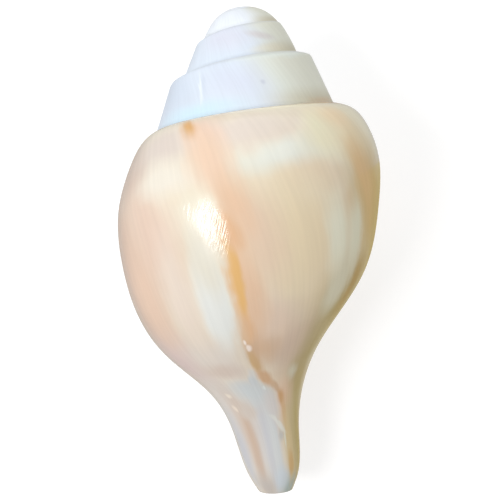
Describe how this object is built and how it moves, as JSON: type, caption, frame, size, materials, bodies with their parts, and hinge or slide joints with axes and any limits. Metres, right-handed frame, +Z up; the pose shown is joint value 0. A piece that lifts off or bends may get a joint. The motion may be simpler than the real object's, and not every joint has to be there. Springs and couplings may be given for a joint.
{
  "type": "conch shell",
  "caption": "Polished right-handed sea snail shell with a low spire, a swollen body whorl and an open mouth that narrows into a canal, lying on its mouth.",
  "frame": {"origin": "bottom centre of the shell's box, on the surface that it lies on", "axes": "+Y along the shell from the tip of its canal towards its spire, +Z up through its back, +X towards the side away from the lip"},
  "size_m": [0.071, 0.1286, 0.0635],
  "materials": {
    "polished_shell": "polished"
  },
  "bodies": {
    "root": {"conch_shell": "polished_shell"}
  },
  "joints": []
}
